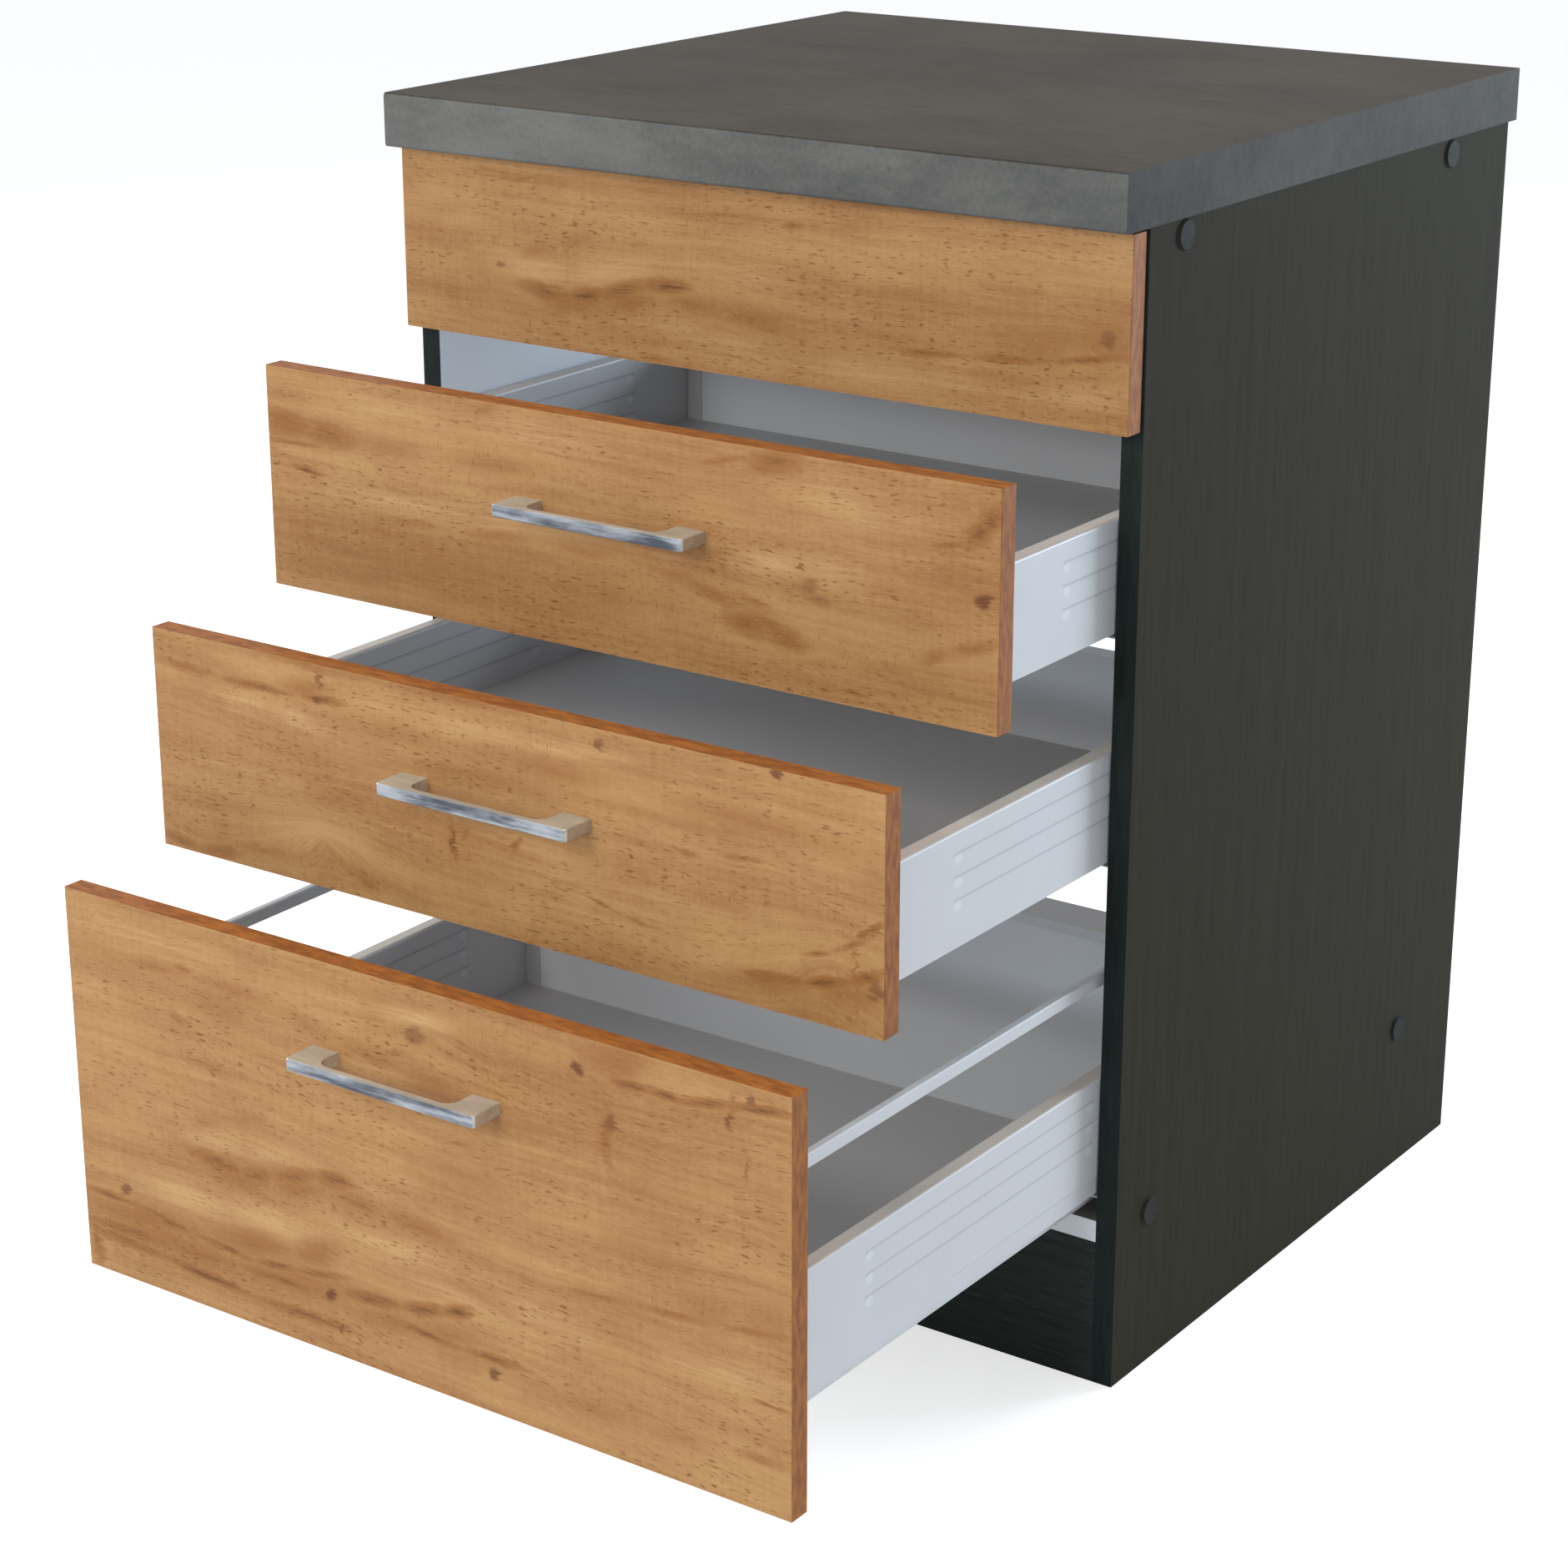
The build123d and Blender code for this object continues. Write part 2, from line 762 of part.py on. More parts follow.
def make_back_brackets(drawer):
    """Two clasps round the back board's ends, which also close the sides' rear ends."""
    rear = box_rear(drawer)
    front_leg = rear - board - clasp_sheet
    end_low = max(floor_top(drawer), side_bottom(drawer) + track_height)
    with BuildPart() as clasps:
        with BuildSketch(Plane.XY.offset(floor_top(drawer))):
            with BuildLine():
                Polyline(
                    (back_half - clasp_front_leg, front_leg),
                    (floor_half, front_leg),
                    (floor_half, rear + clasp_sheet),
                    (back_half - clasp_rear_leg, rear + clasp_sheet),
                    (back_half - clasp_rear_leg, rear),
                    (back_half, rear),
                    (back_half, rear - board),
                    (back_half - clasp_front_leg, rear - board),
                    close=True,
                )
            make_face()
        extrude(amount=drawer.back_height)
        # the end plate stays above the rail's lip
        slab((floor_half, side_outer), (rear, rear + clasp_sheet), (end_low, back_top(drawer)))
        if drawer is pan:
            socket_front = rear - gallery_socket
            gallery_socket_block((socket_front, rear), (socket_front, socket_front + gallery_seat))
        mirror(about=Plane.YZ)
    return clasps


def make_handle(drawer):
    """A bow handle cut from one thickness: straight bar, wide feet, rounded inner corners."""
    face = box_front(drawer) - board
    tip = face - handle_projection
    half = handle_length / 2
    inner_half = half - handle_foot
    holes = [(x, handle_z(drawer)) for x in handle_holes_x]
    with BuildPart() as handle:
        with BuildSketch(Plane.XY.offset(handle_z(drawer) - handle_height / 2)):
            with BuildLine():
                FilletPolyline((-half, face), (-half, tip), (half, tip), (half, face), radius=handle_corner)
                Line((half, face), (inner_half, face))
                FilletPolyline(
                    (inner_half, face),
                    (inner_half, tip + handle_bar),
                    (-inner_half, tip + handle_bar),
                    (-inner_half, face),
                    radius=handle_inner_radius,
                )
                Line((-inner_half, face), (-half, face))
            make_face()
        extrude(amount=handle_height)
        bar_front = handle.faces().sort_by(Axis.Y)[0]
        chamfer(bar_front.edges().filter_by(Axis.X), handle_edge)
        y_rod(
            (face - handle_screw_grip - hole_spare, face),
            holes,
            handle_screw_radius + screw_fit,
            Mode.SUBTRACT,
            hidden_sides,
        )
    return handle


def make_handle_screws(drawer):
    """Two machine screws through the front board into the handle's feet."""
    rear = box_front(drawer)
    places = [(x, handle_z(drawer)) for x in handle_holes_x]
    with BuildPart() as screws:
        y_rod(
            (rear - board - handle_screw_grip, rear), places, handle_screw_radius, sides=hidden_sides
        )
        y_rod((rear, rear + handle_screw_head), places, handle_screw_head_radius)
    return screws


for drawer in drawers:
    save_pair(make_side(drawer), f"{drawer.name}_side")
    save(make_front(drawer), f"{drawer.name}_front")
    save(make_front_brackets(drawer), f"{drawer.name}_front_brackets")
    save(make_floor(drawer), f"{drawer.name}_floor")
    save(make_back(drawer), f"{drawer.name}_back")
    save(make_back_brackets(drawer), f"{drawer.name}_back_brackets")
    save(make_handle(drawer), f"{drawer.name}_handle")
    save(make_handle_screws(drawer), f"{drawer.name}_handle_screws")

# ---- gallery rails -------------------------------------------------------
clip_rear = box_front(pan) + gallery_socket
with BuildPart() as gallery_rail:
    seat_rear = box_rear(pan) - gallery_socket + gallery_seat
    slab(gallery_x, (clip_rear - gallery_seat, seat_rear), gallery_z)
    fillet(gallery_rail.edges().filter_by(Axis.Y), gallery_edge_radius)
save_pair(gallery_rail, "gallery_rail")

with BuildPart() as gallery_clips:
    gallery_socket_block((box_front(pan), clip_rear), (clip_rear - gallery_seat, clip_rear))
    mirror(about=Plane.YZ)
save(gallery_clips, "gallery_front_clips")
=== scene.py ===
import json
import math

import bpy
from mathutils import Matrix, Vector

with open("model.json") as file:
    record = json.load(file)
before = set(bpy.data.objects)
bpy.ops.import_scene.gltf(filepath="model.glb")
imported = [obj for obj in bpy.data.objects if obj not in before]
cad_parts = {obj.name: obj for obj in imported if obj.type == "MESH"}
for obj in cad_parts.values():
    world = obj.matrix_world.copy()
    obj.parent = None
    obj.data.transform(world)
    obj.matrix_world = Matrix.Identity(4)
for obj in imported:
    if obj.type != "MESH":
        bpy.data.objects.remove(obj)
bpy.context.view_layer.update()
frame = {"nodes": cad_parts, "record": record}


# ---- colours and node trees ----------------------------------------------
def srgb(red, green, blue):
    """A screen colour, 0 to 255, as the linear colour that a shader takes."""
    def linear(value):
        value /= 255
        return value / 12.92 if value <= 0.04045 else ((value + 0.055) / 1.055) ** 2.4
    return (linear(red), linear(green), linear(blue), 1.0)


def darker(tint, share):
    """A tint at a share of its brightness."""
    return tuple(share * value for value in tint[:3]) + (1.0,)


def add_node(tree, kind, inputs=(), **settings):
    """Adds a node. Each input is set to a value or linked to another node's output."""
    node = tree.nodes.new(kind)
    for key, value in settings.items():
        setattr(node, key, value)
    for key, value in dict(inputs).items():
        if isinstance(value, bpy.types.NodeSocket):
            tree.links.new(value, node.inputs[key])
        else:
            node.inputs[key].default_value = value
    return node


def empty_tree(owner):
    """The node tree of a material or world, emptied."""
    owner.use_nodes = True
    owner.node_tree.nodes.clear()
    return owner.node_tree


ANY_DEPTH = 1000.0  # metres along Y, so that a mark in the X-Z plane reaches through the part


class Finish:
    """One procedural material.

    Its patterns lie in the part's own frame, in metres, and move with the piece.
    """

    def __init__(self, name):
        self.material = bpy.data.materials.new(name)
        self.tree = empty_tree(self.material)
        where = self.add("ShaderNodeTexCoord")
        self.place = where.outputs["Object"]
        self.normal = where.outputs["Normal"]

    def add(self, kind, inputs=(), **settings):
        return add_node(self.tree, kind, inputs, **settings)

    def math(self, operation, *values):
        return self.add("ShaderNodeMath", enumerate(values), operation=operation).outputs[0]

    def split(self, vector):
        return self.add("ShaderNodeSeparateXYZ", {0: vector}).outputs

    def join(self, x, y, z):
        return self.add("ShaderNodeCombineXYZ", {0: x, 1: y, 2: z}).outputs[0]

    def noise(self, scale, detail=3.0, roughness=0.55, vector=None, shift=0.0):
        """Soft noise, 0 to 1 about 0.5, with its own number of waves per metre on each axis."""
        scaled = self.add("ShaderNodeMapping", {
            "Vector": vector or self.place,
            "Location": (shift, shift, shift),
            "Scale": scale,
        }).outputs[0]
        return self.add("ShaderNodeTexNoise", {
            "Vector": scaled, "Scale": 1.0, "Detail": detail, "Roughness": roughness,
        }).outputs["Fac"]

    def step(self, value, low, high, start=0.0, end=1.0):
        """A soft step from start, below low, to end, above high."""
        return self.add("ShaderNodeMapRange", {
            "Value": value, "From Min": low, "From Max": high, "To Min": start, "To Max": end,
        }, interpolation_type="SMOOTHSTEP").outputs[0]

    def mix(self, share, first, second):
        """The first colour with a share of the second over it."""
        inputs = {0: share, 6: first, 7: second}
        return self.add("ShaderNodeMix", inputs, data_type="RGBA").outputs[2]

    def total(self, weighted):
        """The weighted sum of several patterns."""
        result = 0.0
        for value, weight in weighted:
            result = self.math("MULTIPLY_ADD", value, weight, result)
        return result

    def strongest(self, weighted):
        """The strongest of several weighted patterns at each place."""
        result = 0.0
        for value, weight in weighted:
            result = self.math("MAXIMUM", self.math("MULTIPLY", value, weight), result)
        return result

    def ellipse(self, vector, centre, half_size, tilt=0.0):
        """An ellipse in the X-Z plane: 1 at its centre, falling evenly to 0 at its rim.

        Centre and half size are in millimetres. A positive tilt, in degrees, rises towards +X.
        """
        x, z = (value / 1000 for value in centre)
        wide, high = (value / 1000 for value in half_size)
        local = self.add("ShaderNodeMapping", {
            "Vector": vector,
            "Location": (x, 0.0, z),
            "Rotation": (0.0, -math.radians(tilt), 0.0),
            "Scale": (wide, ANY_DEPTH, high),
        }, vector_type="TEXTURE").outputs[0]
        gradient = self.add("ShaderNodeTexGradient", {"Vector": local}, gradient_type="SPHERICAL")
        return gradient.outputs["Fac"]

    def worn(self, tint, wear, share, darkest):
        """A tint that goes a share of the way to a darker one where the wear is strong."""
        return self.mix(self.step(wear, 0.3, 0.7, 0.0, share), tint, darker(tint, darkest))

    def surface(self, colour, roughness, height, depth, strength, metallic=0.0, **fixed):
        """Ends the tree. Height is a 0 to 1 relief and depth its full size in metres."""
        bump = self.add("ShaderNodeBump", {
            "Strength": strength, "Distance": depth, "Height": height,
        })
        inputs = {
            "Base Color": colour,
            "Roughness": roughness,
            "Metallic": metallic,
            "Normal": bump.outputs[0],
        }
        for name, value in fixed.items():
            inputs[name.replace("_", " ")] = value
        shader = self.add("ShaderNodeBsdfPrincipled", inputs)
        self.add("ShaderNodeOutputMaterial", {0: shader.outputs[0]})
        return self.material


# ---- oak fronts ----------------------------------------------------------
OAK_DEEP = srgb(134, 89, 46)
OAK_LIGHT = srgb(172, 132, 84)
OAK_PALE = srgb(184, 145, 99)
OAK_STREAK = srgb(130, 82, 34)
OAK_STREAK_HEART = srgb(88, 49, 12)
OAK_KNOT = srgb(88, 45, 10)
OAK_PORE = srgb(102, 57, 14)
OAK_GLINT = srgb(190, 152, 106)
OAK_EDGE_DEEP = srgb(128, 71, 24)
OAK_EDGE_LIGHT = srgb(166, 101, 40)
# Each front's finish, and the heights between which its marks lie. Millimetres.
FRONTS = {
    "fascia_panel": ("oak_fascia", 682, 812),
    "upper_drawer_front": ("oak_upper", 522, 681),
    "middle_drawer_front": ("oak_middle", 364, 522),
    "pan_drawer_front": ("oak_pan", 80, 364),
}
# Brown streaks of the decor: the points they pass, half width and darkness. Millimetres.
STREAKS = (
    # fixed fascia
    (((-192, 724), (-150, 719), (-118, 725), (-84, 735), (-46, 738)), 6, 0.85),
    (((-170, 714), (-120, 718), (-70, 727), (-20, 726), (36, 722)), 9, 0.45),
    (((-78, 737), (-44, 737)), 2.2, 1.0),
    (((-196, 744), (-160, 753), (-126, 765)), 8, 0.30),
    (((120, 716), (180, 719), (240, 723), (299, 733)), 3.0, 0.60),
    (((212, 728), (262, 736), (299, 746)), 17, 0.30),
    (((-299, 752), (-250, 742), (-205, 716)), 24, 0.22),
    (((34, 789), (52, 790)), 1.8, 0.80),
    (((-194, 797), (-178, 800)), 1.8, 0.60),
    (((-86, 686), (-58, 684)), 4, 0.50),
    (((150, 706), (230, 712), (299, 718)), 4, 0.25),
    # upper drawer
    (((-299, 642), (-262, 640), (-222, 637)), 9, 0.90),
    (((-240, 638), (-150, 635), (-40, 640)), 8, 0.35),
    (((-299, 627), (-246, 629)), 2.0, 0.75),
    (((-276, 612), (-248, 609)), 2.2, 0.80),
    (((-112, 673), (-92, 677)), 5, 0.45),
    (((76, 664), (108, 672)), 2.4, 0.55),
    (((114, 670), (150, 675)), 8, 0.75),
    (((-220, 585), (-130, 587), (-60, 592), (10, 590), (88, 584), (140, 571)), 5, 0.38),
    (((-230, 566), (-60, 570), (60, 567)), 24, 0.25),
    (((62, 584), (108, 573), (150, 559)), 5, 0.60),
    (((96, 566), (128, 562), (154, 557)), 9, 0.65),
    (((140, 545), (190, 548), (240, 558)), 5, 0.30),
    (((276, 644), (288, 654), (299, 666)), 7, 0.95),
    (((248, 637), (276, 642)), 2.0, 0.70),
    (((240, 560), (262, 572), (299, 582)), 5, 0.45),
    (((184, 533), (200, 532)), 1.8, 0.70),
    (((-299, 545), (-180, 538), (-60, 541)), 9, 0.25),
    # middle drawer
    (((-215, 521), (-100, 519), (40, 520)), 4, 0.50),
    (((-299, 500), (-240, 497), (-166, 497), (-124, 499)), 3.2, 0.75),
    (((-299, 508), (-200, 506)), 9, 0.30),
    (((-180, 501), (-136, 505)), 8, 0.50),
    (((-140, 488), (-20, 486), (110, 488), (299, 482)), 10, 0.35),
    (((-60, 470), (60, 474), (200, 470)), 6, 0.25),
    (((140, 455), (158, 453)), 2.2, 0.75),
    (((176, 458), (212, 461)), 2.2, 0.55),
    (((-36, 438), (-34, 409)), 2.4, 0.95),
    (((-22, 434), (-28, 424)), 2.6, 0.50),
    (((20, 436), (14, 425)), 2.2, 0.60),
    (((-60, 425), (-12, 419)), 16, 0.22),
    (((196, 385), (240, 389), (270, 396), (296, 408)), 4, 0.85),
    (((180, 382), (250, 386), (296, 391)), 8, 0.35),
    (((238, 407), (262, 414), (290, 430), (297, 441)), 2.4, 0.60),
    (((282, 428), (296, 440)), 2.4, 0.85),
    (((276, 438), (279, 372)), 1.4, 0.60),
    (((-299, 374), (-262, 369), (-232, 371)), 5, 0.65),
    (((-299, 384), (-240, 377), (-170, 383)), 4, 0.30),
    (((72, 409), (100, 402), (134, 399)), 1.8, 0.60),
    (((-118, 379), (-104, 377)), 6, 0.55),
    (((90, 436), (140, 430), (210, 426)), 6, 0.25),
    # pan drawer: the decor's streak of the fascia comes again, then its own
    (((-192, 197), (-150, 192), (-118, 198), (-84, 208), (-46, 211)), 6, 0.80),
    (((-170, 187), (-120, 191), (-70, 200), (-20, 199), (36, 195)), 9, 0.50),
    (((-78, 213), (-44, 211)), 2.2, 1.0),
    (((-196, 217), (-160, 226), (-126, 238)), 8, 0.30),
    (((120, 188), (180, 194), (240, 198), (299, 207)), 3.0, 0.60),
    (((212, 204), (262, 210), (299, 220)), 15, 0.30),
    (((34, 264), (52, 266)), 1.8, 0.80),
    (((-299, 142), (-246, 141), (-196, 134), (-140, 130), (-104, 134), (-60, 141)), 3.4, 0.95),
    (((-299, 131), (-180, 138), (-100, 147), (-66, 156)), 11, 0.60),
    (((-299, 118), (-216, 119), (-160, 122), (-70, 124)), 4, 0.85),
    (((-299, 111), (-226, 108), (-140, 103), (-56, 103)), 4, 0.90),
    (((-280, 125), (-150, 124), (-40, 132)), 15, 0.42),
    (((-60, 131), (-10, 135), (26, 142), (48, 149)), 5, 0.90),
    (((-20, 122), (40, 120), (94, 122)), 3.4, 0.95),
    (((-50, 118), (0, 124), (60, 130)), 9, 0.42),
    (((100, 112), (190, 110), (240, 117)), 9, 0.30),
    (((250, 117), (299, 119)), 4, 0.45),
    (((168, 341), (196, 341), (222, 341), (254, 347), (299, 352)), 3.4, 1.0),
    (((148, 352), (190, 354)), 11, 0.55),
    (((162, 320), (163, 283)), 4.5, 0.75),
    (((256, 357), (255, 331)), 2.2, 0.60),
    (((-256, 322), (-180, 326), (-110, 322), (-56, 311), (0, 304), (46, 300)), 7, 0.40),
    (((-299, 322), (-200, 311), (-120, 302)), 16, 0.25),
    (((-200, 329), (-180, 328)), 3, 0.60),
    (((-206, 292), (-190, 290)), 3.4, 0.55),
    (((-18, 312), (0, 316)), 3, 0.50),
    (((-292, 116), (-290, 84)), 6, 0.75),
    (((266, 320), (266, 296)), 1.3, 0.60),
    (((270, 158), (296, 156)), 1.6, 0.60),
    (((0, 245), (120, 238), (240, 232)), 10, 0.20),
)
# Paler places: the points they pass, half width and strength. Millimetres.
PALE_BANDS = (
    (((-210, 738), (-150, 735), (-90, 746)), 8, 0.8),
    (((-60, 712), (40, 700), (160, 694)), 12, 0.6),
    (((220, 698), (299, 706)), 8, 0.7),
    (((-40, 752), (60, 752)), 7, 0.5),
    (((-240, 601), (-120, 599), (-20, 601)), 8, 0.7),
    (((-250, 664), (-120, 662), (0, 660)), 12, 0.6),
    (((102, 601), (150, 607), (190, 608)), 9, 0.9),
    (((160, 655), (230, 650)), 12, 0.7),
    (((-236, 484), (-190, 485), (-150, 478)), 7, 0.9),
    (((-60, 501), (20, 502), (100, 505)), 6, 0.8),
    (((-250, 511), (-190, 509)), 5, 0.7),
    (((30, 415), (80, 420), (60, 396)), 10, 0.5),
    (((-180, 400), (-120, 410)), 14, 0.5),
    (((-200, 210), (-140, 212), (-90, 219)), 7, 0.8),
    (((-240, 160), (-160, 162), (-90, 168)), 9, 0.9),
    (((-20, 340), (40, 345)), 6, 1.0),
    (((-60, 175), (40, 172), (140, 164)), 12, 0.6),
    (((210, 164), (299, 172)), 8, 0.8),
    (((-250, 345), (-140, 340)), 9, 0.6),
    (((0, 160), (100, 146)), 9, 0.6),
)
# Knots: centre, half size, darkness. Millimetres.
KNOTS = (
    ((281, 742), (7, 8), 0.55), ((-211, 736), (4, 4), 0.60), ((289, 608), (7, 7), 1.0),
    ((160, 597), (9, 8), 0.45), ((168, 589), (13, 5), 0.35), ((-145, 512), (4, 8), 0.75),
    ((-149, 497), (5, 4), 0.70), ((86, 511), (5, 6), 0.75), ((218, 518), (7, 5), 0.95),
    ((292, 396), (9, 9), 0.65), ((10, 331), (11, 9), 0.55), ((139, 341), (7, 7), 1.0),
    ((-72, 125), (7, 6), 1.0), ((67, 110), (5, 6), 0.90), ((-258, 150), (7, 6), 0.75),
    ((-65, 102), (3, 6), 0.70), ((254, 337), (3, 6), 0.80), ((270, 354), (4, 5), 0.75),
    ((164, 312), (5, 8), 0.60),
)
# Where the grain swells up (plus) or down (minus): centre, half size, lift. Millimetres.
SWELLS = (
    ((-80, 726), (170, 26), 8.0), ((262, 740), (90, 40), 12.0), ((160, 600), (80, 30), -7.0),
    ((130, 566), (90, 26), 7.0), ((-150, 398), (110, 52), 24.0), ((262, 402), (100, 62), 30.0),
    ((10, 331), (60, 26), 9.0), ((-80, 200), (170, 26), 8.0), ((262, 214), (90, 40), 12.0),
    ((-72, 128), (120, 34), 10.0), ((60, 424), (90, 20), -7.0), ((-145, 506), (50, 18), -6.0),
)
RUN_OVERLAP = 0.70  # a run's ellipse reaches this share of the run to each side of its middle
SOFT_RIM = 1.5  # an ellipse is wider than the streak by this much, because it fades to its rim


def drawn(finish, vector, strokes, low, high):
    """Soft strokes through points, a long ellipse for each run, kept to those on one front."""
    patterns = []
    for points, half_width, weight in strokes:
        if not low < points[0][1] < high:
            continue
        for (x0, z0), (x1, z1) in zip(points, points[1:]):
            length = math.hypot(x1 - x0, z1 - z0)
            tilt = math.degrees(math.atan2(z1 - z0, x1 - x0))
            centre = ((x0 + x1) / 2, (z0 + z1) / 2)
            half_size = (RUN_OVERLAP * length + half_width, SOFT_RIM * half_width)
            patterns.append((finish.ellipse(vector, centre, half_size, tilt), weight))
    return finish.strongest(patterns)


def oak(name, low, high):
    """Wild oak laminate on one front: level grain, brown streaks, knots and pores."""
    f = Finish(name)
    x, _, z = f.split(f.place)
    sway = f.noise((2.6, 5.0, 7.0), detail=2.0)
    ripple = f.noise((22.0, 5.0, 60.0), shift=3.0)
    fray = f.noise((90.0, 5.0, 420.0), shift=13.0)

    # The drawn marks keep their places and have frayed rims. Noise is about 0.5, so half of
    # what it moves a mark by is taken off again.
    frayed_x = f.total(((ripple, 0.016), (fray, 0.014)))
    frayed_z = f.total(((ripple, 0.0050), (fray, 0.0044)))
    frayed = f.join(f.math("ADD", frayed_x, f.math("SUBTRACT", x, 0.015)), 0.0,
                    f.math("ADD", frayed_z, f.math("SUBTRACT", z, 0.0047)))

    # The grain runs level, sways, and swells round the knots.
    lifts = []
    for centre, half_size, lift in SWELLS:
        if low < centre[1] < high:
            swell = f.ellipse(f.place, centre, half_size)
            lifts.append((f.math("MULTIPLY", swell, swell), lift / 1000))
    raised = f.math("SUBTRACT", z, f.total(lifts))
    level = f.math("ADD", raised, f.total(((sway, 0.030), (ripple, 0.0030))))
    along = f.join(x, 0.0, level)

    broad = f.noise((2.0, 0.0, 21.0), detail=2.0, vector=along)
    bands = f.noise((5.0, 0.0, 95.0), roughness=0.60, vector=along, shift=2.0)
    layers = f.noise((13.0, 0.0, 340.0), roughness=0.65, vector=along)
    fibres = f.noise((110.0, 0.0, 1500.0), roughness=0.70, vector=along)
    cloud = f.noise((9.0, 0.0, 15.0), detail=4.0, roughness=0.6, shift=7.0)
    saw = f.noise((230.0, 0.0, 22.0), shift=11.0)
    tone = f.total(((broad, 0.30), (bands, 0.26), (layers, 0.20),
                    (fibres, 0.24), (cloud, 0.26), (saw, 0.09)))
    colour = f.mix(f.step(tone, 0.50, 0.86), OAK_DEEP, OAK_LIGHT)

    pale = drawn(f, frayed, PALE_BANDS, low, high)
    pale = f.math("MULTIPLY", pale, f.step(layers, 0.30, 0.70, 0.35, 1.0))
    colour = f.mix(pale, colour, OAK_PALE)

    brown = drawn(f, frayed, STREAKS, low, high)
    torn = f.step(f.total(((bands, 0.35), (layers, 0.40), (fibres, 0.25))), 0.36, 0.64, 0.45, 1.45)
    ragged = f.math("MULTIPLY", brown, torn)
    colour = f.mix(f.step(ragged, 0.02, 0.50, 0.0, 0.80), colour, OAK_STREAK)
    colour = f.mix(f.step(ragged, 0.45, 1.05, 0.0, 0.85), colour, OAK_STREAK_HEART)

    knots = f.strongest([(f.step(f.ellipse(frayed, centre, half_size), 0.0, 0.62), darkness)
                         for centre, half_size, darkness in KNOTS if low < centre[1] < high])
    colour = f.mix(f.math("MULTIPLY", knots, 0.90), colour, OAK_KNOT)

    # Pores are short dashes along the grain, and in places upright ticks left by the saw.
    dash_places = f.step(f.noise((7.0, 0.0, 24.0), detail=2.0, shift=19.0), 0.40, 0.60)
    dashes = f.noise((115.0, 0.0, 620.0), detail=1.5, roughness=0.5, vector=along, shift=5.0)
    pores = f.math("MULTIPLY", f.step(dashes, 0.585, 0.69),
                   f.math("MULTIPLY_ADD", dash_places, 0.62, 0.16))
    tick_places = f.step(f.noise((6.0, 0.0, 17.0), detail=1.0, shift=37.0), 0.50, 0.62)
    ticks = f.step(f.noise((620.0, 0.0, 150.0), detail=1.0, roughness=0.4, shift=23.0), 0.63, 0.73)
    marks = f.math("MULTIPLY_ADD", f.math("MULTIPLY", ticks, tick_places), 0.42, pores)
    colour = f.mix(f.math("MINIMUM", marks, 0.80), colour, OAK_PORE)
    glints = f.noise((120.0, 0.0, 760.0), detail=1.5, roughness=0.5, vector=along, shift=43.0)
    colour = f.mix(f.step(glints, 0.60, 0.72, 0.0, 0.20), colour, OAK_GLINT)

    # The edge bands are plainer and more orange than the faces.
    edge_grain = f.noise((70.0, 260.0, 70.0), shift=31.0)
    edge = f.mix(f.step(edge_grain, 0.30, 0.70), OAK_EDGE_DEEP, OAK_EDGE_LIGHT)
    facing = f.math("ABSOLUTE", f.split(f.normal)[1])
    colour = f.mix(f.step(facing, 0.55, 0.80), edge, colour)

    relief = f.total(((fibres, 0.5), (layers, 0.3), (marks, -0.3)))
    roughness = f.math("MULTIPLY_ADD", fibres, 0.16, 0.48)
    return f.surface(colour, roughness, relief, depth=0.00010, strength=0.4,
                     Specular_IOR_Level=0.30)


# ---- other boards --------------------------------------------------------
# Colours in pairs run from the darkest to the lightest place.
WORKTOP_TOP = (srgb(47, 43, 38), srgb(80, 74, 66))
WORKTOP_FRONT_EDGE = (srgb(78, 79, 78), srgb(107, 107, 104))
# painted shade: the side edges are the same laminate as the front edge, drawn darker
WORKTOP_SIDE_EDGE_PAINTED_SHADE = (srgb(60, 59, 57), srgb(88, 86, 82))
WORKTOP_PIT = srgb(52, 50, 48)
ANTHRACITE_FACE = (srgb(41, 39, 31), srgb(59, 56, 46))
ANTHRACITE_EDGE = (srgb(30, 37, 36), srgb(44, 51, 49))
PLINTH_FACE = (srgb(40, 44, 43), srgb(60, 65, 63))
PANEL_INSIDE = srgb(236, 242, 248)
WHITE_BOARD = srgb(238, 244, 250)
GREY_BOARD = srgb(196, 194, 193)
BOTTOM_EDGE = srgb(240, 245, 250)
# painted shade: the warm grey that the white bottom panel's top face is drawn with
BOTTOM_TOP_PAINTED_SHADE = srgb(128, 122, 118)
BOTTOM_WEAR = srgb(128, 126, 124)
# Dark matt boards hardly mirror the white room.
WORKTOP_SPECULAR = 0.06
ANTHRACITE_SPECULAR = 0.03
PEARL = (420.0, 420.0, 420.0)  # waves per metre


